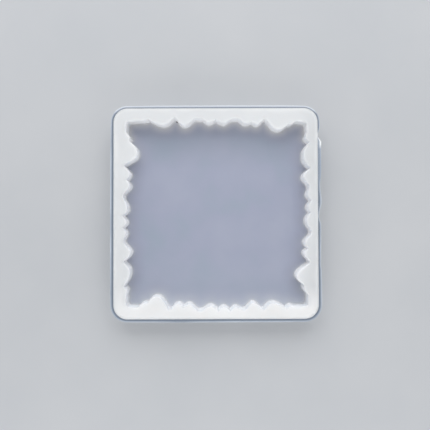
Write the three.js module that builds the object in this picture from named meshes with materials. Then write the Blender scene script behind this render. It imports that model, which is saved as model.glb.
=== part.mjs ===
// A flexible silicone mould for casting one square resin coaster with a scalloped, agate-like edge.
//
// Three regions of the moulding are separate meshes: the thick wall ring with its scalloped inner
// face, the thin floor that spans the cavity, and the thin hand-trimmed flash round the rim.
// The base lies on Z = 0, the cavity opens upwards, and the origin is under the middle of the mould.
import * as THREE from "three";

// Driving dimensions in millimetres.
const WALL_OUTER_X = 112.8; // over the wall's outer faces, flash not counted
const WALL_OUTER_Y = 116.2;
const WALL_HEIGHT = 11;
const WALL_CORNER_RADIUS = 7.8;
const FLOOR_THICKNESS = 2;
const CAVITY_CORNER_RADIUS = 1.8;
const RIM_ROUNDING = 0.5; // the inner edge of the rim
const BASE_ROUNDING = 0.6; // the outer edge of the base
const FLASH_THICKNESS = 0.45;

// How far the flash stands out from each side of the wall. The left and the right side have a width
// for each end.
const FLASH_LEFT_UPPER = 1.5;
const FLASH_LEFT_LOWER = 1.7;
const FLASH_TOP = 1.3;
const FLASH_BOTTOM = 1.6;
const FLASH_RIGHT_UPPER = 1.1;
const FLASH_RIGHT_LOWER = 1.8;
const FLASH_WIDEST = 2.0;

// Fineness of the curves.
const SCALLOP_STEP = 1.0; // along the cavity's edge
const FLASH_STEP = 1.2; // along the wavy part of the flash
const WALL_ARC_STEPS = 10; // for each quarter turn
const CAVITY_ARC_STEPS = 4;
const ROUNDING_STEPS = 2;

const HALF_X = WALL_OUTER_X / 2;
const HALF_Y = WALL_OUTER_Y / 2;

// The scalloped edge of the cavity. Each point is a place along the side, measured from its middle,
// and the wall's thickness there. A lobe is a rounded tip that reaches into the cavity, a hollow is
// a rounded dip between lobes, and a notch is a sharp one. The first and the last point of a side
// also give the wall's thickness in the corners.
const lobe = (at, wall) => ({ at, wall, smooth: true });
const hollow = (at, wall) => ({ at, wall, smooth: true });
const notch = (at, wall) => ({ at, wall, smooth: false });

const TOP_EDGE = [
  hollow(-47.0, 6.9), hollow(-43.0, 6.6), hollow(-40.0, 6.6), notch(-37.4, 5.6),
  lobe(-29.7, 8.9), lobe(-28.8, 8.9), notch(-23.2, 5.0), notch(-22.0, 5.2),
  lobe(-17.8, 9.2), lobe(-16.9, 9.2), hollow(-10.7, 5.5), hollow(-7.8, 5.7),
  lobe(-4.1, 7.8), notch(0.0, 6.0), lobe(4.6, 8.0), hollow(9.5, 5.8),
  hollow(11.9, 5.7), lobe(16.4, 8.2), lobe(17.3, 8.2), notch(19.9, 7.3),
  lobe(23.1, 8.7), notch(26.7, 6.0), notch(27.7, 5.8), lobe(34.5, 11.7),
  lobe(35.3, 11.7), notch(40.4, 8.6), lobe(41.4, 8.7), hollow(45.3, 7.0), hollow(47.5, 7.3),
];
const RIGHT_EDGE = [
  hollow(-45.8, 5.7), lobe(-41.5, 8.1), notch(-39.8, 7.9), lobe(-34.8, 11.9),
  notch(-27.7, 5.0), notch(-26.4, 4.9), lobe(-22.4, 7.7), notch(-19.5, 5.7),
  lobe(-16.3, 7.3), hollow(-10.6, 3.8), lobe(-5.0, 6.2), lobe(-3.7, 6.2),
  notch(0.4, 4.0), lobe(3.2, 5.5), notch(6.9, 3.6), lobe(10.5, 5.7),
  hollow(14.2, 4.7), lobe(20.3, 8.0), notch(24.7, 4.3), notch(25.4, 4.5),
  lobe(30.8, 7.7), lobe(33.5, 7.7), notch(39.0, 4.7), lobe(42.3, 6.6),
  hollow(45.4, 5.8), hollow(47.2, 6.0),
];
const BOTTOM_EDGE = [
  hollow(-47.0, 6.7), hollow(-44.0, 6.3), lobe(-39.9, 8.8), notch(-38.0, 8.8),
  lobe(-33.6, 12.4), lobe(-32.4, 12.3), notch(-26.2, 5.3), notch(-24.9, 5.4),
  lobe(-21.1, 8.4), notch(-18.0, 6.6), lobe(-15.0, 8.2), hollow(-9.1, 4.5),
  lobe(-3.1, 7.2), notch(1.2, 4.6), lobe(4.3, 6.5), notch(7.8, 4.3),
  lobe(10.9, 6.5), hollow(15.0, 5.0), lobe(20.6, 8.8), notch(25.0, 5.4),
  notch(26.4, 5.2), lobe(31.4, 8.7), notch(38.8, 5.6), lobe(41.8, 7.2),
  hollow(44.9, 6.5), hollow(47.3, 6.8),
];
const LEFT_EDGE = [
  hollow(-47.0, 6.9), hollow(-45.6, 6.8), lobe(-42.7, 7.4), notch(-40.2, 5.7),
  lobe(-33.0, 8.9), lobe(-31.6, 8.8), notch(-27.2, 5.9), notch(-26.4, 5.7),
  lobe(-21.5, 9.3), hollow(-15.2, 5.5), lobe(-11.3, 6.8), notch(-7.9, 5.0),
  lobe(-5.2, 7.0), notch(-1.2, 4.9), lobe(1.9, 7.6), lobe(3.5, 7.5),
  hollow(9.6, 5.3), lobe(15.4, 8.9), notch(18.6, 7.1), lobe(21.9, 9.0),
  notch(25.8, 6.1), notch(26.9, 5.9), lobe(33.0, 13.1), lobe(34.5, 13.0),
  notch(40.1, 8.5), lobe(41.9, 8.9), hollow(45.4, 6.9),
];

// The trimmed outer edge of the flash on the right side, upwards from the lower corner to the
// place where the flash is torn away, and from there to the upper corner.
const FLASH_BELOW_TEAR = [
  hollow(-33.0, FLASH_RIGHT_LOWER), hollow(-27.0, 1.3), hollow(-20.0, 1.5), hollow(-7.0, 1.6),
  hollow(-1.8, 0.4), hollow(6.5, FLASH_WIDEST), hollow(15.0, 1.1), hollow(23.0, 1.8),
  hollow(33.5, 1.7), hollow(39.4, FLASH_WIDEST), hollow(41.8, 0.3),
];
const FLASH_ABOVE_TEAR = [hollow(44.3, 0.3), hollow(46.8, FLASH_RIGHT_UPPER)];

// The share of the way from one point of an edge to the next, at a place t from 0 to 1 between them.
// The curve is level where a point is smooth and comes to an angle where it is not.
function eased(t, from, to) {
  if (from.smooth && to.smooth) return (1 - Math.cos(Math.PI * t)) / 2;
  if (from.smooth) return 1 - Math.cos((Math.PI / 2) * t);
  if (to.smooth) return Math.sin((Math.PI / 2) * t);
  return t;
}

// Samples an edge as [place, thickness] pairs about a step apart. Level stretches keep only their ends.
function sampleEdge(edge, step) {
  const samples = [];
  for (let i = 0; i + 1 < edge.length; i++) {
    const from = edge[i];
    const to = edge[i + 1];
    const span = to.at - from.at;
    const count = from.wall === to.wall ? 1 : Math.max(1, Math.round(span / step));
    for (let k = 0; k < count; k++) {
      const t = k / count;
      samples.push([from.at + t * span, from.wall + eased(t, from, to) * (to.wall - from.wall)]);
    }
  }
  const last = edge[edge.length - 1];
  samples.push([last.at, last.wall]);
  return samples;
}

// Points of a quarter circle, counter-clockwise from the angle start.
function quarterArc(centre, radius, start, steps) {
  return Array.from({ length: steps + 1 }, (_, k) => {
    const angle = start + ((Math.PI / 2) * k) / steps;
    return new THREE.Vector2(
      centre.x + radius * Math.cos(angle),
      centre.y + radius * Math.sin(angle),
    );
  });
}

// The wall's outer outline, counter-clockwise from the lower right corner, drawn in by inset.
function wallOutline(inset) {
  const radius = WALL_CORNER_RADIUS - inset;
  return wallCorners().flatMap(({ centre, start }) =>
    quarterArc(centre, radius, start, WALL_ARC_STEPS),
  );
}

// The centres of the four corner arcs with the angles at which they start: lower right, upper
// right, upper left, lower left.
function wallCorners() {
  const x = HALF_X - WALL_CORNER_RADIUS;
  const y = HALF_Y - WALL_CORNER_RADIUS;
  const signs = [[1, -1], [1, 1], [-1, 1], [-1, -1]];
  return signs.map(([signX, signY], k) => ({
    centre: new THREE.Vector2(signX * x, signY * y),
    start: (Math.PI / 2) * (k - 1),
  }));
}

// The cavity's outline, counter-clockwise from the lower left corner.
function cavityOutline() {
  const bottom = sampleEdge(BOTTOM_EDGE, SCALLOP_STEP)
    .map(([at, wall]) => new THREE.Vector2(at, wall - HALF_Y));
  const right = sampleEdge(RIGHT_EDGE, SCALLOP_STEP)
    .map(([at, wall]) => new THREE.Vector2(HALF_X - wall, at));
  const top = sampleEdge(TOP_EDGE, SCALLOP_STEP)
    .map(([at, wall]) => new THREE.Vector2(at, HALF_Y - wall)).reverse();
  const left = sampleEdge(LEFT_EDGE, SCALLOP_STEP)
    .map(([at, wall]) => new THREE.Vector2(wall - HALF_X, at)).reverse();
  const sides = [bottom, right, top, left];
  return sides.flatMap((side, k) => {
    const next = sides[(k + 1) % sides.length];
    return [...side, ...cavityCorner(side[side.length - 1], next[0], k)];
  });
}

// The rounded corner after side k, between that side's last point and the next side's first.
function cavityCorner(last, first, k) {
  const horizontal = k % 2 === 0;
  const corner = horizontal
    ? new THREE.Vector2(first.x, last.y)
    : new THREE.Vector2(last.x, first.y);
  const inwards = new THREE.Vector2(-Math.sign(corner.x), -Math.sign(corner.y));
  const centre = corner.addScaledVector(inwards, CAVITY_CORNER_RADIUS);
  return quarterArc(centre, CAVITY_CORNER_RADIUS, (Math.PI / 2) * (k - 1), CAVITY_ARC_STEPS);
}

// A counter-clockwise outline moved outwards by a distance, with mitred angles.
function grownOutline(outline, distance) {
  const count = outline.length;
  return outline.map((point, k) => {
    const before = outward(outline[(k + count - 1) % count], point);
    const after = outward(point, outline[(k + 1) % count]);
    const mitre = before.clone().add(after).multiplyScalar(1 / (1 + before.dot(after)));
    return point.clone().addScaledVector(mitre, distance);
  });
}

// The unit normal that points out of a counter-clockwise outline between two of its points.
function outward(from, to) {
  const along = to.clone().sub(from).normalize();
  return new THREE.Vector2(along.y, -along.x);
}

// A quarter-round edge as [height, inset] pairs, from the vertical face to the horizontal one.
function roundedEdge(height, direction, radius) {
  return Array.from({ length: ROUNDING_STEPS + 1 }, (_, k) => {
    const angle = ((Math.PI / 2) * k) / ROUNDING_STEPS;
    return [height - direction * radius * (1 - Math.sin(angle)), radius * (1 - Math.cos(angle))];
  });
}

// A mesh surface under construction: flat arrays of corner coordinates, three corners a triangle.
function addTriangle(coordinates, a, b, c) {
  for (const corner of [a, b, c]) coordinates.push(corner.x, corner.y, corner.z);
}

// Joins two outlines of equal length at two heights. Faces look right of the outline's direction
// when the second outline is the upper one, and left of it when it is the lower.
function addBand(coordinates, outlineA, heightA, outlineB, heightB) {
  const lift = (point, z) => new THREE.Vector3(point.x, point.y, z);
  outlineA.forEach((_, k) => {
    const next = (k + 1) % outlineA.length;
    const a = lift(outlineA[k], heightA);
    const b = lift(outlineA[next], heightA);
    const c = lift(outlineB[next], heightB);
    const d = lift(outlineB[k], heightB);
    addTriangle(coordinates, a, b, c);
    addTriangle(coordinates, a, c, d);
  });
}

// Fills an outline, less its holes, at one height, facing up or down.
function addCap(coordinates, outline, holes, height, facesUp) {
  const points = [outline, ...holes].flat();
  const lift = (k) => new THREE.Vector3(points[k].x, points[k].y, height);
  for (const [a, b, c] of THREE.ShapeUtils.triangulateShape(outline, holes)) {
    if (facesUp) addTriangle(coordinates, lift(a), lift(b), lift(c));
    else addTriangle(coordinates, lift(a), lift(c), lift(b));
  }
}

function geometryOf(coordinates) {
  const geometry = new THREE.BufferGeometry();
  geometry.setAttribute("position", new THREE.Float32BufferAttribute(coordinates, 3));
  geometry.computeVertexNormals();
  return geometry;
}

function silicone(color, roughness, opacity) {
  return new THREE.MeshStandardMaterial({
    color, roughness, metalness: 0, opacity, transparent: opacity < 1,
  });
}

function namedMesh(name, geometry, material) {
  const mesh = new THREE.Mesh(geometry, material);
  mesh.name = name;
  return mesh;
}

// The thick ring: a rounded base edge outside, a scalloped inner face, a softened rim edge.
function scallopedWall() {
  const surface = [];
  const cavity = cavityOutline();
  const outerLevels = roundedEdge(0, -1, BASE_ROUNDING).reverse()
    .map(([height, inset]) => ({ height, outline: wallOutline(inset) }));
  outerLevels.push({ height: WALL_HEIGHT, outline: wallOutline(0) });
  const innerLevels = roundedEdge(WALL_HEIGHT, 1, RIM_ROUNDING).reverse()
    .map(([height, inset]) => ({ height, outline: grownOutline(cavity, inset) }));
  innerLevels.push({ height: FLOOR_THICKNESS, outline: cavity });
  innerLevels.push({ height: 0, outline: cavity });
  for (const levels of [outerLevels, innerLevels]) {
    for (let k = 0; k + 1 < levels.length; k++) {
      const [a, b] = [levels[k], levels[k + 1]];
      addBand(surface, a.outline, a.height, b.outline, b.height);
    }
  }
  addCap(surface, wallOutline(0), [innerLevels[0].outline], WALL_HEIGHT, true);
  addCap(surface, wallOutline(BASE_ROUNDING), [cavity], 0, false);
  return namedMesh("scalloped_wall", geometryOf(surface), silicone(0xe6e8eb, 0.5, 1));
}

// The thin floor of the cavity, which fills the wall's outline from side to side.
function cavityFloor() {
  const surface = [];
  const cavity = cavityOutline();
  addBand(surface, cavity, 0, cavity, FLOOR_THICKNESS);
  addCap(surface, cavity, [], FLOOR_THICKNESS, true);
  addCap(surface, cavity, [], 0, false);
  return namedMesh("cavity_floor", geometryOf(surface), silicone(0xa7adc0, 0.45, 0.9));
}

// The thin fin of silicone left round the rim, trimmed by hand and torn away at one place.
function trimmedFlash() {
  const x = (at, width) => new THREE.Vector2(HALF_X + width, at);
  const below = sampleEdge(FLASH_BELOW_TEAR, FLASH_STEP);
  const above = sampleEdge(FLASH_ABOVE_TEAR, FLASH_STEP);
  const widths = [
    [FLASH_BOTTOM, FLASH_RIGHT_LOWER],
    [FLASH_RIGHT_UPPER, FLASH_TOP],
    [FLASH_TOP, FLASH_LEFT_UPPER],
    [FLASH_LEFT_LOWER, FLASH_BOTTOM],
  ];
  const corners = wallCorners().map(({ centre, start }, k) =>
    flashCorner(centre, start, widths[k]),
  );
  const walls = wallCorners().map(({ centre, start }) =>
    quarterArc(centre, WALL_CORNER_RADIUS, start, WALL_ARC_STEPS),
  );
  const [lowerRight, ...others] = corners;
  const [wallLowerRight, ...otherWalls] = walls;
  const outer = [
    ...above.map(([at, width]) => x(at, width)),
    ...others.flat(),
    ...lowerRight,
    ...below.map(([at, width]) => x(at, width)),
  ];
  const inner = [
    x(above[0][0], 0),
    ...otherWalls.flat(),
    ...wallLowerRight,
    x(below[below.length - 1][0], 0),
  ];
  const outline = new THREE.Shape([...outer, ...inner.reverse()]);
  const geometry = new THREE.ExtrudeGeometry(outline, {
    depth: FLASH_THICKNESS, bevelEnabled: false,
  });
  geometry.translate(0, 0, WALL_HEIGHT - FLASH_THICKNESS);
  return namedMesh("trimmed_flash", geometry, silicone(0x8a92a2, 0.35, 0.8));
}

// The flash round one corner of the wall, widening or narrowing evenly from one side to the next.
function flashCorner(centre, start, [fromWidth, toWidth]) {
  return Array.from({ length: WALL_ARC_STEPS + 1 }, (_, k) => {
    const share = k / WALL_ARC_STEPS;
    const angle = start + (Math.PI / 2) * share;
    const radius = WALL_CORNER_RADIUS + fromWidth + share * (toWidth - fromWidth);
    return new THREE.Vector2(
      centre.x + radius * Math.cos(angle),
      centre.y + radius * Math.sin(angle),
    );
  });
}

// The mould's middle over everything, the flash counted, stands over the origin.
const mould = new THREE.Group();
mould.add(scallopedWall(), cavityFloor(), trimmedFlash());
mould.position.set((FLASH_LEFT_LOWER - FLASH_WIDEST) / 2, (FLASH_BOTTOM - FLASH_TOP) / 2, 0);

export default mould;
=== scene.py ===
"""A silicone coaster mould with a scalloped cavity, seen from above on a plain pale floor.

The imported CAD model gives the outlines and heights. Each of its three nodes is replaced by a finer
mesh of the same region: the thick wall ring, the thin floor membrane and the trimmed flash.
Lengths are in metres.
"""

import math

import bmesh
import bpy
import numpy as np
from mathutils import Euler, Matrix, Vector, geometry, noise


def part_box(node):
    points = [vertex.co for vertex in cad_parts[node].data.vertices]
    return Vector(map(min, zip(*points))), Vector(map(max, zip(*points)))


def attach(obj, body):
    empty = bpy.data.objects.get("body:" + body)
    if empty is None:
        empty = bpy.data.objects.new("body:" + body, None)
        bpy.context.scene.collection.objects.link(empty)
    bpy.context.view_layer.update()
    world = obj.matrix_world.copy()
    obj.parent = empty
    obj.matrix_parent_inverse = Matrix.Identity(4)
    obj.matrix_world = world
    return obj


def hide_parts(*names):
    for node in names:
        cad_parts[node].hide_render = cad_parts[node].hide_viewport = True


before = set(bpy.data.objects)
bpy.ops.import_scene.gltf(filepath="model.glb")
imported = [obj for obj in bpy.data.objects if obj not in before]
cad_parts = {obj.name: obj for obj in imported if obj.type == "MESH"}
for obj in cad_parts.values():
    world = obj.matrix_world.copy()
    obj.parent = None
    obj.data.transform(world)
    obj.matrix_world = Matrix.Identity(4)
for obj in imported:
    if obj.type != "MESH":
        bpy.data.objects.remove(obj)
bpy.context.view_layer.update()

MM = 0.001

# Fineness of the meshes.
OUTLINE_STEP = 0.3 * MM
FLASH_STEP = 0.35 * MM
FLOOR_GRID = 1.6 * MM
FOOT_ROWS = [0.03 * MM, 0.08 * MM, 0.16 * MM, 0.26 * MM, 0.40 * MM, 0.65 * MM]
FINE_FLOOR = 5 * MM  # the floor's grid has twice the points this near to the wall
ROW_CLEARANCE = 0.92  # a row's point is kept where it keeps this share of the row's gap to the wall
GRID_CLEARANCE = 1.3  # the grid starts this many times as far from the wall as the last row
RIM_RINGS = 9
INNER_HEIGHTS = [4 * MM, 6 * MM, 8 * MM]  # rings up the wall's inner face
OUTER_HEIGHTS = [8.5 * MM, 6 * MM, 3.5 * MM]  # rings down its outer face
CORNER_SPREAD = 4 * MM

# How far each ring of the wall's section, from the inner foot up, over the rim and down to the
# base, has the whiter tone painted as light on the inner face and the rim's outer edge, the duller
# tone painted as shade along the inner edge, which depends on the wall's thickness there and
# differs along the near side, and the darker tone painted as shade on the outer face.
FACE_LIGHT_SHARE = [0.5, 0.5, 0.9, 1.0, 1.0, 0.9, 0.7, 0.5, 0.35, 0.2, 0, 0, 0, 0, 0, 0, 0.1, 0.3,
              0.5, 0.5, 0.5, 0.5, 0.5]
EDGE_SHADE_THIN = [0, 0, 0, 0, 0.3, 0.7, 0.9, 1.0, 1.0, 0.9, 0.6, 0.2]
EDGE_SHADE_THICK = [0, 0, 0, 0, 0, 0.2, 0.3, 0.3, 0.1]
EDGE_SHADE_NEAR = [0, 0, 0, 0, 0.25, 0.65, 0.85, 0.85, 0.65, 0.35]
OUTER_SHADE_SHARE = [0] * 23 + [0.3, 0.7, 1, 1, 1, 1, 1, 1]
THIN_WALL = 5.5 * MM
THICK_WALL = 11 * MM
FAR_EDGE_SHADE = 0.4  # the strength of the painted shade along the far side's inner edge
ROUND_STEPS = 4
SHARP_TURN = math.radians(24)  # an outline that turns more than this at a point has a corner there
NOTCH_PASSES = 2  # smoothing passes that take the edge off the notches

# The flash's section from the wall to the bead on its cut edge: the share of the way out, and the
# height above the middle plane as a share of half the flash's thickness.
FLASH_SECTION = [(0.0, 0.55), (0.25, 0.5), (0.5, 0.5), (0.7, 0.6), (0.84, 0.85)]
BEAD_SHARE = 0.12
BEAD_STEPS = 8

# Small radii and depths of the moulded silicone.
RIM_ROUND_INNER = 0.5 * MM
RIM_ROUND_OUTER = 0.08 * MM
BASE_ROUND = 0.6 * MM
FOOT_RADIUS = 0.35 * MM  # the fillet between the wall's inner face and the floor
FLOOR_ENTRY = 0.16 * MM
JOIN_DEPTH = 0.4 * MM  # how far the floor and the flash run into the wall
BASE_STEP_UP = 0.03 * MM  # the floor's underside clears the table by this
RIM_SKIN = 0.2 * MM  # the hand-cast unevenness reaches this far below the rim
FLOOR_SAG = 0.04 * MM
FLASH_RAGGED = 0.07 * MM  # how unevenly the flash is trimmed
FLASH_LEAST = 0.12 * MM
FLASH_ON_WALL = 0.05 * MM  # nearer to the wall than this, the flash's outline is on the wall

# A dark fleck lies on the floor just inside the deepest notch of the far side.
FLECK_SHIFT = Vector((1.25, -0.6)) * MM
FLECK_CORE = 0.25 * MM
FLECK_EDGE = 0.75 * MM

# The camera, almost straight above the mould. Its place and tilt come from a fit, not from choice.
CAMERA_PLACE = Vector((-1.25, -4.94, 250.08)) * MM
CAMERA_TILT = (0.992, -0.146, -0.173)  # degrees about X, Y and the line of sight
CAMERA_LENS = 36.38
SENSOR = 36.0
CLIP = (0.01, 10)

# The light: the tent's brightness at the horizon and overhead, and the window's watts.
TENT_LOW = 1.25
TENT_HIGH = 0.32
BACKDROP = 0.62  # what the camera sees of the tent past the table
TENT_COLOUR = (0.96, 0.98, 1.0)
WINDOW_PLACE = (0.0, 0.634, 0.488)
WINDOW_SIZE = (1.0, 0.6)
WINDOW_POWER = 3.9
REFLECTOR_PLACE = (0.0, -0.36, 0.13)
REFLECTOR_SIZE = (0.6, 0.24)
REFLECTOR_POWER = 0.45
TABLE_HALF = 40.0


# ---------------------------------------------------------------- outlines from the CAD nodes


def top_outline(node):
    """The boundary of a CAD node's flat top face, as an ordered list of 2-D points."""
    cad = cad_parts[node]
    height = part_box(node)[1].z
    mesh = bmesh.new()
    mesh.from_mesh(cad.data)
    bmesh.ops.remove_doubles(mesh, verts=mesh.verts, dist=1e-7)
    flat = {f for f in mesh.faces if all(abs(v.co.z - height) < 1e-6 for v in f.verts)}
    border = [e for e in mesh.edges if sum(f in flat for f in e.link_faces) == 1]
    neighbours = {}
    for edge in border:
        a, b = edge.verts
        neighbours.setdefault(a, []).append(b)
        neighbours.setdefault(b, []).append(a)
    start = min(neighbours, key=lambda v: (v.co.x + v.co.y, v.co.x))
    loop, before, here = [], None, start
    while True:
        loop.append(Vector((here.co.x, here.co.y)))
        onward = [v for v in neighbours[here] if v is not before]
        before, here = here, onward[0]
        if here is start:
            break
    mesh.free()
    return loop if signed_area(loop) > 0 else loop[::-1]


def signed_area(loop):
    after = loop[1:] + loop[:1]
    return sum(a.x * b.y - b.x * a.y for a, b in zip(loop, after)) / 2


def turn_at(a, b, c):
    """How far the line turns at b, in radians."""
    return abs((b - a).angle_signed(c - b))


def catmull(p0, p1, p2, p3, t):
    """A point on the centripetal Catmull-Rom curve between p1 and p2."""
    k0 = max((p1 - p0).length, 1e-9) ** 0.5
    k1 = max((p2 - p1).length, 1e-9) ** 0.5
    k2 = max((p3 - p2).length, 1e-9) ** 0.5
    m1 = (p1 - p0) / k0 - (p2 - p0) / (k0 + k1) + (p2 - p1) / k1
    m2 = (p2 - p1) / k1 - (p3 - p1) / (k1 + k2) + (p3 - p2) / k2
    m1, m2 = m1 * k1, m2 * k1
    t2, t3 = t * t, t * t * t
    return (
        p1 * (2 * t3 - 3 * t2 + 1)
        + m1 * (t3 - 2 * t2 + t)
        + p2 * (-2 * t3 + 3 * t2)
        + m2 * (t3 - t2)
    )


def refined(loop, step, closed=True):
    """The outline with points about a step apart, curved between its corners."""
    count = len(loop)
    corner = [
        turn_at(loop[k - 1], loop[k], loop[(k + 1) % count]) > SHARP_TURN for k in range(count)
    ]
    if not closed:
        corner[0] = corner[-1] = True
    fine = []
    for k in range(count if closed else count - 1):
        p1, p2 = loop[k], loop[(k + 1) % count]
        p0 = p1 * 2 - p2 if corner[k] else loop[k - 1]
        p3 = p2 * 2 - p1 if corner[(k + 1) % count] else loop[(k + 2) % count]
        pieces = max(1, round((p2 - p1).length / step))
        fine += [catmull(p0, p1, p2, p3, i / pieces) for i in range(pieces)]
    if not closed:
        fine.append(loop[-1])
    return fine


def smoothed(loop, passes):
    """The outline with each point moved towards the middle of its neighbours, in turn."""
    for _ in range(passes):
        after, before = loop[1:] + loop[:1], loop[-1:] + loop[:-1]
        loop = [p * 0.5 + (a + b) * 0.25 for p, a, b in zip(loop, after, before)]
    return loop


def normals_of(loop):
    """Outward unit normals of a counter-clockwise outline."""
    after, before = loop[1:] + loop[:1], loop[-1:] + loop[:-1]
    along = [(a - b).normalized() for a, b in zip(after, before)]
    return [Vector((t.y, -t.x)) for t in along]


# ---------------------------------------------------------------- the wall's plain outer outline

WALL_LOW, WALL_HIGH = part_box("scalloped_wall")
FLOOR_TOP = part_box("cavity_floor")[1].z
RIM = WALL_HIGH.z
FLASH_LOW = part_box("trimmed_flash")[0].z


def corner_radius():
    """The wall's corner radius: where its straight top side ends in the CAD outline."""
    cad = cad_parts["scalloped_wall"].data.vertices
    on_side = [v.co.x for v in cad if abs(v.co.y - WALL_HIGH.y) < 1e-6]
    return WALL_HIGH.x - max(on_side)


WALL_RADIUS = corner_radius()


def outer_point(point):
    """The place on the wall's outer outline that faces a point, and the normal there."""
    mid = (WALL_LOW + WALL_HIGH) / 2
    reach = Vector((WALL_HIGH.x - mid.x - WALL_RADIUS, WALL_HIGH.y - mid.y - WALL_RADIUS))
    rel = Vector((point.x - mid.x, point.y - mid.y))
    side = Vector((math.copysign(1, rel.x), math.copysign(1, rel.y)))
    past = Vector((abs(rel.x) - reach.x, abs(rel.y) - reach.y))
    if past.x > 0 and past.y > 0:
        out = past.normalized()
        normal = Vector((out.x * side.x, out.y * side.y))
        centre = Vector((mid.x + reach.x * side.x, mid.y + reach.y * side.y))
        return centre + normal * WALL_RADIUS, normal
    if past.x > past.y:
        normal = Vector((side.x, 0))
        return Vector((mid.x + side.x * (reach.x + WALL_RADIUS), point.y)), normal
    normal = Vector((0, side.y))
    return Vector((point.x, mid.y + side.y * (reach.y + WALL_RADIUS))), normal


def facing_point(point):
    """As outer_point, but near a corner the cavity's edge is spread over the whole of the bend."""
    mid = (WALL_LOW + WALL_HIGH) / 2
    reach = Vector((WALL_HIGH.x - mid.x - WALL_RADIUS, WALL_HIGH.y - mid.y - WALL_RADIUS))
    side = Vector((math.copysign(1, point.x - mid.x), math.copysign(1, point.y - mid.y)))
    past_x = abs(point.x - mid.x) - reach.x + CORNER_SPREAD
    past_y = abs(point.y - mid.y) - reach.y + CORNER_SPREAD
    if past_x <= 0 or past_y <= 0:
        return outer_point(point)
    bend = WALL_RADIUS * math.pi / 2
    along = math.atan2(past_y, past_x) / (math.pi / 2) * (bend + 2 * CORNER_SPREAD) - CORNER_SPREAD
    turn = min(max(along / WALL_RADIUS, 0), math.pi / 2)
    normal = Vector((math.cos(turn), math.sin(turn)))
    straight = Vector((min(bend - along, 0), min(along, 0)))
    place = reach + normal * WALL_RADIUS + straight
    outwards = Vector((normal.x * side.x, normal.y * side.y))
    return Vector((mid.x + place.x * side.x, mid.y + place.y * side.y)), outwards


# ---------------------------------------------------------------- meshes


def wander(place, scale, seed):
    """Smooth noise from -1 to 1, the same on every run."""
    return noise.noise(Vector(place) / scale + Vector((seed, seed * 0.7, seed * 1.3)))


def mesh_object(name, vertices, faces):
    mesh = bpy.data.meshes.new(name)
    mesh.from_pydata([tuple(v) for v in vertices], [], faces)
    mesh.validate()
    mesh.update()
    piece = bpy.data.objects.new(name, mesh)
    bpy.context.scene.collection.objects.link(piece)
    mesh.shade_smooth()
    return piece


def ring_faces(rings, count, first=0):
    """Quads between neighbouring rings of count points, the last ring joined to the first."""
    faces = []
    for r in range(rings):
        for k in range(count):
            a = first + r * count + k
            b = first + r * count + (k + 1) % count
            c = first + (r + 1) % rings * count + (k + 1) % count
            d = first + (r + 1) % rings * count + k
            faces.append((a, b, c, d))
    return faces


def wall_rings(inner, normals):
    """The wall's cross-section as rings of points, from the inner foot over the rim to the base."""
    outer = [facing_point(p) for p in inner]

    def ring(height, place):
        return [Vector((*place(k), height)) for k in range(len(inner))]

    def inside(inset):
        return lambda k: inner[k] + normals[k] * inset

    def outside(inset):
        return lambda k: outer[k][0] - outer[k][1] * inset

    def across(share):
        return lambda k: inside(RIM_ROUND_INNER)(k).lerp(outside(RIM_ROUND_OUTER)(k), share)

    def quarter(steps):
        return [math.pi / 2 * s / steps for s in range(steps + 1)]

    rings = [ring(z, inside(0)) for z in (0, FLOOR_TOP, *INNER_HEIGHTS)]
    for a in quarter(ROUND_STEPS):
        rings.append(ring(
            RIM - RIM_ROUND_INNER * (1 - math.sin(a)), inside(RIM_ROUND_INNER * (1 - math.cos(a)))
        ))
    rings += [ring(RIM, across(s / RIM_RINGS)) for s in range(1, RIM_RINGS)]
    for a in reversed(quarter(ROUND_STEPS)):
        rings.append(ring(
            RIM - RIM_ROUND_OUTER * (1 - math.sin(a)), outside(RIM_ROUND_OUTER * (1 - math.cos(a)))
        ))
    rings += [ring(z, outside(0)) for z in OUTER_HEIGHTS]
    for a in quarter(ROUND_STEPS):
        rings.append(ring(
            BASE_ROUND * (1 - math.sin(a)), outside(BASE_ROUND * (1 - math.cos(a)))
        ))
    return rings


def wall_unevenness(point):
    """A hand-cast surface is never quite flat: a few hundredths of a millimetre, up and down."""
    slow = wander(point, 17 * MM, 3.1)
    quick = wander(point, 5 * MM, 8.7)
    return (0.05 * slow + 0.02 * quick) * MM


def per_ring(shares, rings, strength):
    """A share for each ring and point: the ring's share, zero past the list, times the strength."""
    return np.outer(list(shares) + [0.0] * (rings - len(shares)), strength)


def edge_shade_shares(inner, rings):
    """The painted shade of the inner edge, strong in the thin hollows and weak on the thick lobes.
    """
    facing = [facing_point(p) for p in inner]
    thickness = np.array([(place - p).length for (place, _), p in zip(facing, inner)])
    far = np.clip([normal.y for _, normal in facing], 0, 1)
    near = np.clip([-normal.y for _, normal in facing], 0, 1)
    thick = np.clip((thickness - THIN_WALL) / (THICK_WALL - THIN_WALL), 0, 1)
    elsewhere = (1 - near) * (1 - (1 - FAR_EDGE_SHADE) * far)
    return (
        per_ring(EDGE_SHADE_THIN, rings, (1 - thick) * elsewhere)
        + per_ring(EDGE_SHADE_THICK, rings, thick * elsewhere)
        + per_ring(EDGE_SHADE_NEAR, rings, near)
    )


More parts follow.
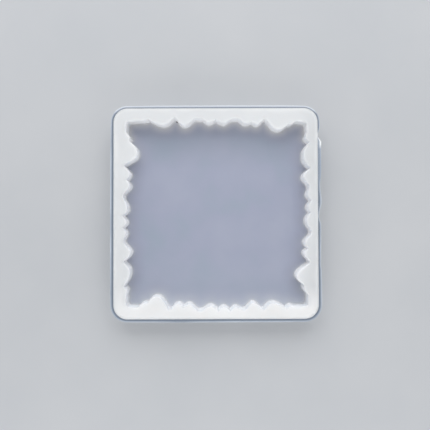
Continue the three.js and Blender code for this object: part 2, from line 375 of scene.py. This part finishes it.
def make_wall():
    inner = smoothed(refined(top_outline("cavity_floor"), OUTLINE_STEP), NOTCH_PASSES)
    normals = normals_of(inner)
    rings = wall_rings(inner, normals)
    vertices = []
    for ring in rings:
        for point in ring:
            lift = wall_unevenness(point) if point.z > RIM - RIM_SKIN else 0
            vertices.append(point + Vector((0, 0, min(lift, 0.0))))
    faces = ring_faces(len(rings), len(inner))
    piece = mesh_object("wall_casting", vertices, faces)
    # The attributes inside, edge and outside carry the painted light of the whiter inner face, the
    # painted shade of the inner edge and the painted shade of the outer face.
    for name, shares in (
        ("inside", per_ring(FACE_LIGHT_SHARE, len(rings), np.ones(len(inner)))),
        ("edge", edge_shade_shares(inner, len(rings))),
        ("outside", per_ring(OUTER_SHADE_SHARE, len(rings), np.ones(len(inner)))),
    ):
        attribute = piece.data.attributes.new(name, "FLOAT", "POINT")
        attribute.data.foreach_set("value", shares.ravel())
    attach(piece, "root")
    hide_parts("scalloped_wall")
    return piece


def gap_to(edge, points):
    """Each point's distance from the nearest point of an outline."""
    line = np.array([(p.x, p.y) for p in edge])
    return np.array([np.sqrt(((line - (p.x, p.y)) ** 2).sum(axis=1).min()) for p in points])


def floor_points(edge):
    """Points over the floor: rows that follow the wall's foot, then a grid that grows coarser."""
    normals = normals_of(edge)
    points = []
    for gap in FOOT_ROWS:
        row = [p - n * gap for p, n in zip(edge, normals)]
        clear = gap_to(edge, row)
        points += [p for p, c in zip(row, clear) if c > gap * ROW_CLEARANCE]
    low = Vector((min(p.x for p in edge), min(p.y for p in edge)))
    high = Vector((max(p.x for p in edge), max(p.y for p in edge)))
    step = FLOOR_GRID / 2
    grid = []
    for i in range(int((high.x - low.x) / step) + 1):
        for j in range(int((high.y - low.y) / step) + 1):
            grid.append(((i + j) % 2 == 0, low + Vector((i * step, j * step))))
    clear = gap_to(edge, [p for _, p in grid])
    for (main, p), c in zip(grid, clear):
        if c > FOOT_ROWS[-1] * GRID_CLEARANCE and (main or c < FINE_FLOOR):
            points.append(p)
    return points


def foot_rise(gap):
    """How far the fillet lifts the floor at a distance from the wall."""
    if gap >= FOOT_RADIUS:
        return 0.0
    return FOOT_RADIUS - math.sqrt(FOOT_RADIUS**2 - (FOOT_RADIUS - gap) ** 2)


def make_floor():
    """The membrane, filleted up to the wall's face, with its rim a little way inside the wall."""
    edge = smoothed(refined(top_outline("cavity_floor"), OUTLINE_STEP), NOTCH_PASSES)
    rim = [p + n * FLOOR_ENTRY for p, n in zip(edge, normals_of(edge))]
    points = rim + edge + floor_points(edge)
    count = len(edge)
    borders = [(k, (k + 1) % count) for k in range(count)]
    borders += [(count + k, count + (k + 1) % count) for k in range(count)]
    flat, _, triangles, origin, _, _ = geometry.delaunay_2d_cdt(points, borders, [], 1, 1e-7)
    total = len(flat)
    from_wall = gap_to(edge, flat)
    for k, source in enumerate(origin):
        if source and min(source) < 2 * count:
            from_wall[k] = 0.0
    vertices = []
    for p, gap in zip(flat, from_wall):
        sag = FLOOR_SAG * wander((p.x, p.y, 0), 22 * MM, 5.3)
        vertices.append(Vector((p.x, p.y, FLOOR_TOP + foot_rise(gap) + sag)))
    vertices += [Vector((p.x, p.y, BASE_STEP_UP)) for p in flat]
    faces = [tuple(t) for t in triangles]
    faces += [tuple(total + k for k in reversed(t)) for t in triangles]
    sides = {(a, b) for t in triangles for a, b in zip(t, t[1:] + t[:1])}
    faces += [(b, a, total + a, total + b) for a, b in sides if (b, a) not in sides]
    piece = mesh_object("floor_membrane", vertices, faces)
    attribute = piece.data.attributes.new("from_wall", "FLOAT", "POINT")
    attribute.data.foreach_set("value", np.concatenate([from_wall, from_wall]) / MM)
    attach(piece, "root")
    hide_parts("cavity_floor")
    return piece


def flash_path():
    """The trimmed outer edge of the flash: the part of its CAD outline away from the wall."""
    loop = top_outline("trimmed_flash")
    away = [(p - outer_point(p)[0]).length > FLASH_ON_WALL for p in loop]
    start = next(k for k in range(len(loop)) if away[k] and not away[k - 1])
    turned = loop[start:] + loop[:start]
    kept = away[start:] + away[:start]
    return [p for p, a in zip(turned, kept) if a]


def make_flash():
    path = refined(flash_path(), FLASH_STEP, closed=False)
    half = (RIM - FLASH_LOW) / 2
    middle = RIM - half
    turns = [math.pi * s / BEAD_STEPS for s in range(BEAD_STEPS + 1)]
    bead = [(1 - BEAD_SHARE + BEAD_SHARE * math.sin(a), math.cos(a)) for a in turns]
    section = FLASH_SECTION + bead + [(share, -lift) for share, lift in reversed(FLASH_SECTION)]
    vertices, share_out = [], []
    for k, tip in enumerate(path):
        root, normal = outer_point(tip)
        reach = (tip - root).length
        reach += FLASH_RAGGED * wander((tip.x, tip.y, 0), 2.6 * MM, 11.3)
        reach = max(reach, FLASH_LEAST)
        inner = root - normal * JOIN_DEPTH
        for share, lift in section:
            out = inner.lerp(root + normal * reach, share) if share else inner
            vertices.append(Vector((out.x, out.y, middle + half * lift)))
            share_out.append(share)
    width = len(section)
    faces = []
    for k in range(len(path) - 1):
        for s in range(width):
            a = k * width + s
            b = k * width + (s + 1) % width
            faces.append((a, b, b + width, a + width))
    faces.append(tuple(range(width))[::-1])
    faces.append(tuple((len(path) - 1) * width + s for s in range(width)))
    piece = mesh_object("rim_flash", vertices, faces)
    attribute = piece.data.attributes.new("out", "FLOAT", "POINT")
    attribute.data.foreach_set("value", share_out)
    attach(piece, "root")
    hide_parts("trimmed_flash")
    return piece


def face_outwards(piece):
    mesh = bmesh.new()
    mesh.from_mesh(piece.data)
    bmesh.ops.recalc_face_normals(mesh, faces=mesh.faces)
    mesh.to_mesh(piece.data)
    mesh.free()
    piece.data.shade_smooth()


# ---------------------------------------------------------------- materials


class Nodes:
    """A material's node tree, built a node at a time."""

    def __init__(self, name):
        self.material = bpy.data.materials.new(name)
        self.material.use_nodes = True
        self.tree = self.material.node_tree
        self.shader = self.tree.nodes["Principled BSDF"]
        self.place = self.add("ShaderNodeTexCoord").outputs["Object"]

    def add(self, kind, **settings):
        node = self.tree.nodes.new(kind)
        for key, value in settings.items():
            setattr(node, key, value)
        return node

    def link(self, out, into):
        self.tree.links.new(out, into)

    def attribute(self, name):
        return self.add("ShaderNodeAttribute", attribute_name=name).outputs["Fac"]

    def axis(self, name):
        split = self.add("ShaderNodeSeparateXYZ")
        self.link(self.place, split.inputs["Vector"])
        return split.outputs[name]

    def distance(self, point):
        node = self.add("ShaderNodeVectorMath", operation="DISTANCE")
        self.link(self.place, node.inputs[0])
        node.inputs[1].default_value = point
        return node.outputs["Value"]

    def noise(self, scale, detail):
        node = self.add("ShaderNodeTexNoise")
        node.inputs["Scale"].default_value = scale
        node.inputs["Detail"].default_value = detail
        node.inputs["Roughness"].default_value = 0.5
        self.link(self.place, node.inputs["Vector"])
        return node.outputs["Fac"]

    def remap(self, value, low, high):
        """Spreads the middle of a noise value's range over low to high."""
        node = self.add("ShaderNodeMapRange")
        node.inputs["From Min"].default_value = 0.3
        node.inputs["From Max"].default_value = 0.7
        node.inputs["To Min"].default_value = low
        node.inputs["To Max"].default_value = high
        self.link(value, node.inputs["Value"])
        return node.outputs["Result"]

    def ramp(self, value, stops):
        node = self.add("ShaderNodeValToRGB")
        elements = node.color_ramp.elements
        elements[0].position, elements[0].color = stops[0][0], (*stops[0][1], 1)
        elements[1].position, elements[1].color = stops[-1][0], (*stops[-1][1], 1)
        for position, colour in stops[1:-1]:
            elements.new(position).color = (*colour, 1)
        self.link(value, node.inputs["Fac"])
        return node.outputs["Color"]

    def remap_from(self, value, low, high):
        """0 at low, 1 at high, held outside them."""
        node = self.add("ShaderNodeMapRange")
        node.inputs["From Min"].default_value = low
        node.inputs["From Max"].default_value = high
        self.link(value, node.inputs["Value"])
        return node.outputs["Result"]

    def mix(self, share, first, second):
        node = self.add("ShaderNodeMix", data_type="RGBA")
        self.link(share, node.inputs["Factor"])
        self.link(first, node.inputs["A"])
        self.link(second, node.inputs["B"])
        return node.outputs["Result"]

    def bump(self, height, distance, strength=1.0, onto=None):
        node = self.add("ShaderNodeBump")
        node.inputs["Strength"].default_value = strength
        node.inputs["Distance"].default_value = distance
        self.link(height, node.inputs["Height"])
        if onto is not None:
            self.link(onto, node.inputs["Normal"])
        return node.outputs["Normal"]

    def set(self, **values):
        for name, value in values.items():
            self.shader.inputs[name.replace("_", " ")].default_value = value


def wall_material():
    """Milky, with tones that differ by side and stand in for part of the light on the mould."""
    n = Nodes("milky_silicone")
    inside = n.attribute("inside")
    edge = n.attribute("edge")
    across, along = n.axis("X"), n.axis("Y")
    cloud = n.noise(60, 3)
    rim = n.ramp(cloud, [(0.3, (0.78, 0.79, 0.80)), (0.7, (0.81, 0.82, 0.83))])
    # Painted shade: the duller rim tone towards the right side. Painted light: the whiter rim tone
    # along the near side.
    thin = n.ramp(cloud, [(0.3, (0.73, 0.74, 0.75)), (0.7, (0.76, 0.77, 0.78))])
    thick = n.ramp(cloud, [(0.3, (0.86, 0.86, 0.86)), (0.7, (0.89, 0.89, 0.89))])
    rim = n.mix(n.remap_from(across, 44 * MM, 54 * MM), rim, thin)
    rim = n.mix(n.remap_from(along, -40 * MM, -52 * MM), rim, thick)
    # The inner face's tone is painted whiter than the rim, as light. The far side's faces are
    # painted whiter still, as light, and the near side's a little duller, as shade.
    face = n.ramp(cloud, [(0.3, (0.925, 0.93, 0.94)), (0.7, (0.945, 0.95, 0.96))])
    far_face_painted_light = n.ramp(cloud, [(0.3, (0.965, 0.965, 0.965)), (0.7, (0.98, 0.98, 0.98))])
    near_face_painted_shade = n.ramp(cloud, [(0.3, (0.885, 0.90, 0.92)), (0.7, (0.905, 0.92, 0.94))])
    face = n.mix(n.remap_from(along, 30 * MM, 44 * MM), face, far_face_painted_light)
    face = n.mix(n.remap_from(along, -38 * MM, -46 * MM), face, near_face_painted_shade)
    body = n.mix(inside, rim, face)
    # Painted shade: the duller tone along the rim's inner edge.
    dull = n.ramp(cloud, [(0.3, (0.71, 0.72, 0.73)), (0.7, (0.74, 0.75, 0.76))])
    # Painted shade: the darker tone of the outer face.
    outer = n.ramp(cloud, [(0.3, (0.63, 0.65, 0.68)), (0.7, (0.68, 0.70, 0.72))])
    skin = n.mix(n.attribute("outside"), n.mix(edge, body, dull), outer)
    n.link(skin, n.shader.inputs["Base Color"])
    n.link(n.remap(n.noise(900, 4), 0.42, 0.56), n.shader.inputs["Roughness"])
    grain = n.bump(n.noise(5200, 3), 0.01 * MM, 0.6)
    n.link(n.bump(n.noise(420, 3), 0.05 * MM, 0.5, onto=grain), n.shader.inputs["Normal"])
    n.set(Subsurface_Weight=1.0, Subsurface_Radius=(1.0, 0.97, 0.95), Subsurface_Scale=3.0 * MM,
          IOR=1.41)
    return n.material


def fleck_place():
    notch = max(top_outline("cavity_floor"), key=lambda p: p.y)
    return Vector((*(notch + FLECK_SHIFT), FLOOR_TOP))


def floor_material():
    """Grey-lavender, with the far and near sides' shading painted in; milkier towards the wall,
    partly from the fillet's thicker silicone and partly a painted glow of light through the wall.
    """
    n = Nodes("thin_silicone")
    gap = n.attribute("from_wall")
    cloud = n.noise(38, 3)
    thin = n.ramp(cloud, [(0.3, (0.375, 0.425, 0.515)), (0.5, (0.405, 0.43, 0.54)),
                          (0.7, (0.425, 0.45, 0.555))])
    # Painted light: the paler tone towards the near side. Painted shade: the darker tone towards the
    # far side.
    pale = n.ramp(cloud, [(0.3, (0.42, 0.46, 0.56)), (0.7, (0.455, 0.48, 0.585))])
    across = n.axis("Y")
    shady = n.ramp(cloud, [(0.3, (0.355, 0.40, 0.49)), (0.7, (0.40, 0.42, 0.52))])
    thin = n.mix(n.remap_from(across, -22 * MM, -44 * MM), thin, pale)
    thin = n.mix(n.remap_from(across, 26 * MM, 40 * MM), thin, shady)
    reach = n.remap_from(gap, 0, 8)
    # Near the wall: whitest at the foot, where the fillet's silicone is thick, then a painted glow
    # of light through the wall that fades out by 8 mm. Along the left and right sides there is a
    # faint painted shade about a millimetre out. The far and near sides' ramps paint a stronger
    # glow.
    near = n.ramp(reach, [(0.0, (0.78, 0.78, 0.80)), (0.03, (0.54, 0.55, 0.60)),
                          (0.08, (0.42, 0.44, 0.51)), (0.2, (0.393, 0.413, 0.50)),
                          (0.5, (0.393, 0.413, 0.512)), (1.0, (0.39, 0.415, 0.52))])
    far_side = n.ramp(reach, [(0.0, (0.80, 0.80, 0.82)), (0.03, (0.68, 0.68, 0.70)),
                              (0.08, (0.58, 0.58, 0.61)), (0.2, (0.51, 0.52, 0.57)),
                              (0.35, (0.45, 0.465, 0.54)), (0.5, (0.41, 0.43, 0.52)),
                              (1.0, (0.375, 0.395, 0.495))])
    near_side = n.ramp(reach, [(0.0, (0.80, 0.80, 0.82)), (0.03, (0.62, 0.63, 0.67)),
                               (0.08, (0.54, 0.56, 0.61)), (0.2, (0.49, 0.515, 0.585)),
                               (0.5, (0.47, 0.495, 0.58)), (1.0, (0.45, 0.475, 0.575))])
    near = n.mix(n.remap_from(across, 38 * MM, 46 * MM), near, far_side)
    near = n.mix(n.remap_from(across, -38 * MM, -46 * MM), near, near_side)
    share = n.remap_from(gap, 8, 3)
    # A dark spot on the floor beside the deepest notch of the far side.
    fleck_tone = n.ramp(cloud, [(0.3, (0.06, 0.065, 0.08)), (0.7, (0.09, 0.09, 0.10))])
    fleck = n.remap_from(n.distance(fleck_place()), FLECK_EDGE, FLECK_CORE)
    n.link(n.mix(fleck, n.mix(share, thin, near), fleck_tone), n.shader.inputs["Base Color"])
    n.link(n.remap(n.noise(700, 4), 0.40, 0.52), n.shader.inputs["Roughness"])
    grain = n.bump(n.noise(4800, 3), 0.01 * MM, 0.5)
    n.link(n.bump(n.noise(300, 3), 0.04 * MM, 0.4, onto=grain), n.shader.inputs["Normal"])
    n.set(Subsurface_Weight=0.3, Subsurface_Radius=(1.0, 1.0, 1.0), Subsurface_Scale=1.5 * MM,
          IOR=1.41)
    return n.material


def flash_material():
    """Dark towards the wall and brighter along the cut edge, a painted highlight, most of all beside
    the tear, where it is a painted glint.
    """
    n = Nodes("clear_silicone_fin")
    out = n.attribute("out")
    # Along the cut edge a painted highlight, weaker in one ramp and stronger in the other, mixed in
    # patches. Along the far side the flash is painted as if sunlit. On the torn right side it has a
    # plainer tone, with a painted glint beside the tear.
    dull = n.ramp(out, [(0.0, (0.20, 0.235, 0.29)), (0.5, (0.20, 0.24, 0.30)),
                        (0.66, (0.25, 0.29, 0.36)), (0.85, (0.32, 0.36, 0.43)),
                        (1.0, (0.40, 0.45, 0.53))])
    edge_highlight = n.ramp(out, [(0.0, (0.20, 0.24, 0.30)), (0.5, (0.20, 0.24, 0.30)),
                          (0.66, (0.42, 0.47, 0.55)), (0.85, (0.62, 0.67, 0.75)),
                          (1.0, (0.72, 0.77, 0.84))])
    sunlit = n.ramp(out, [(0.0, (0.24, 0.28, 0.34)), (0.45, (0.30, 0.34, 0.41)),
                          (0.62, (0.62, 0.66, 0.74)), (0.85, (0.76, 0.80, 0.87)),
                          (1.0, (0.82, 0.86, 0.92))])
    highlight_patches = n.remap(n.noise(34, 2), 0.1, 1.0)
    glint = n.ramp(out, [(0.0, (0.32, 0.36, 0.43)), (0.5, (0.42, 0.47, 0.55)),
                         (0.7, (0.95, 0.98, 1.0)), (1.0, (1.0, 1.0, 1.0))])
    even = n.ramp(out, [(0.0, (0.27, 0.31, 0.38)), (0.66, (0.32, 0.37, 0.45)),
                        (0.85, (0.42, 0.48, 0.58)), (1.0, (0.50, 0.56, 0.66))])
    along, across = n.axis("Y"), n.axis("X")
    skin = n.mix(n.remap_from(along, 55 * MM, 57 * MM), n.mix(highlight_patches, dull, edge_highlight), sunlit)
    torn_side = n.mix(n.remap_from(along, 10 * MM, 20 * MM), skin, even)
    torn_side = n.mix(n.remap_from(along, 35.5 * MM, 38 * MM), torn_side, glint)
    torn_side = n.mix(n.remap_from(along, 41.5 * MM, 42.5 * MM), torn_side, skin)
    skin = n.mix(n.remap_from(across, 54 * MM, 55 * MM), skin, torn_side)
    n.link(skin, n.shader.inputs["Base Color"])
    n.link(n.remap(n.noise(1500, 3), 0.22, 0.4), n.shader.inputs["Roughness"])
    n.link(n.bump(n.noise(1200, 3), 0.05 * MM, 0.5), n.shader.inputs["Normal"])
    n.set(IOR=1.41)
    return n.material


def table_material():
    n = Nodes("pale_table")
    n.link(n.ramp(n.noise(14, 4), [(0.3, (0.56, 0.575, 0.60)), (0.7, (0.60, 0.61, 0.63))]),
           n.shader.inputs["Base Color"])
    n.set(Roughness=0.75)
    return n.material


# ---------------------------------------------------------------- stage, lights and camera


def make_stage():
    half = TABLE_HALF
    corners = [(-half, -half, 0), (half, -half, 0), (half, half, 0), (-half, half, 0)]
    table = mesh_object("table", [Vector(c) for c in corners], [(0, 1, 2, 3)])
    table.data.materials.append(table_material())


def area_light(name, place, size, power):
    """A broad light that points at the middle of the table."""
    light = bpy.data.lights.new(name, "AREA")
    light.shape = "RECTANGLE"
    light.size, light.size_y = size
    light.energy = power
    lamp = bpy.data.objects.new(name, light)
    lamp.location = place
    lamp.rotation_euler = (Vector((0, 0, 0)) - Vector(place)).to_track_quat("-Z", "Y").to_euler()
    bpy.context.scene.collection.objects.link(lamp)


def make_lights():
    """A pale tent, brighter low down than overhead, and one broad window beyond the far side."""
    world = bpy.data.worlds.new("studio")
    world.use_nodes = True
    tree = world.node_tree
    background = tree.nodes["Background"]
    place = tree.nodes.new("ShaderNodeTexCoord")
    split = tree.nodes.new("ShaderNodeSeparateXYZ")
    ramp = tree.nodes.new("ShaderNodeMapRange")
    tree.links.new(place.outputs["Generated"], split.inputs["Vector"])
    tree.links.new(split.outputs["Z"], ramp.inputs["Value"])
    ramp.inputs["From Min"].default_value = 0.0
    ramp.inputs["From Max"].default_value = 1.0
    ramp.inputs["To Min"].default_value = TENT_LOW
    ramp.inputs["To Max"].default_value = TENT_HIGH
    backdrop = tree.nodes.new("ShaderNodeMix")
    rays = tree.nodes.new("ShaderNodeLightPath")
    tree.links.new(rays.outputs["Is Camera Ray"], backdrop.inputs["Factor"])
    tree.links.new(ramp.outputs["Result"], backdrop.inputs["A"])
    backdrop.inputs["B"].default_value = BACKDROP
    tree.links.new(backdrop.outputs["Result"], background.inputs["Strength"])
    background.inputs["Color"].default_value = (*TENT_COLOUR, 1)
    bpy.context.scene.world = world
    area_light("window", WINDOW_PLACE, WINDOW_SIZE, WINDOW_POWER)
    area_light("reflector", REFLECTOR_PLACE, REFLECTOR_SIZE, REFLECTOR_POWER)


def make_camera():
    data = bpy.data.cameras.new("camera")
    data.sensor_width = SENSOR
    data.lens = CAMERA_LENS
    data.clip_start, data.clip_end = CLIP
    camera = bpy.data.objects.new("camera", data)
    camera.location = CAMERA_PLACE
    camera.rotation_euler = Euler([math.radians(a) for a in CAMERA_TILT])
    bpy.context.scene.collection.objects.link(camera)
    bpy.context.scene.camera = camera


make_camera()
make_lights()
make_stage()
for make, material in (
    (make_wall, wall_material),
    (make_floor, floor_material),
    (make_flash, flash_material),
):
    piece = make()
    face_outwards(piece)
    piece.data.materials.append(material())
bpy.context.scene.view_settings.view_transform = "Standard"
